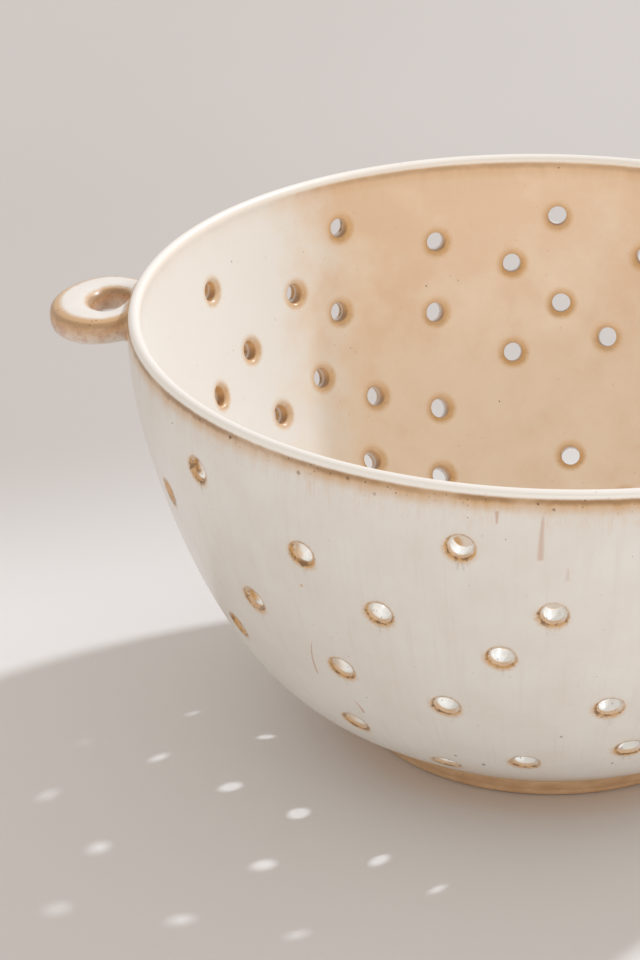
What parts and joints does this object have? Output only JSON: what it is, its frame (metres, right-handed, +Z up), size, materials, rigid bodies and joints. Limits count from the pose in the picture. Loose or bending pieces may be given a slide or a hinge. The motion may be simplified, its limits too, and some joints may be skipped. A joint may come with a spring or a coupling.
{
  "type": "berry colander bowl",
  "caption": "Deep round stoneware bowl with drain holes scattered over its wall and floor, a low foot ring and an oval loop on each side to lift it by.",
  "frame": {"origin": "centre of the foot's tread, on the surface that the bowl stands on", "axes": "+Z up along the bowl's axis; +X out through the right loop, -X out through the left loop; +Y away from the front"},
  "size_m": [0.2168, 0.1804, 0.0955],
  "materials": {
    "glazed_stoneware": "satin cream glaze that breaks brown on edges",
    "bare_stoneware": "unglazed, fired tan"
  },
  "bodies": {
    "root": {"bowl": "glazed_stoneware", "foot_ring": "bare_stoneware", "left_handle": "glazed_stoneware", "right_handle": "glazed_stoneware"}
  },
  "joints": []
}
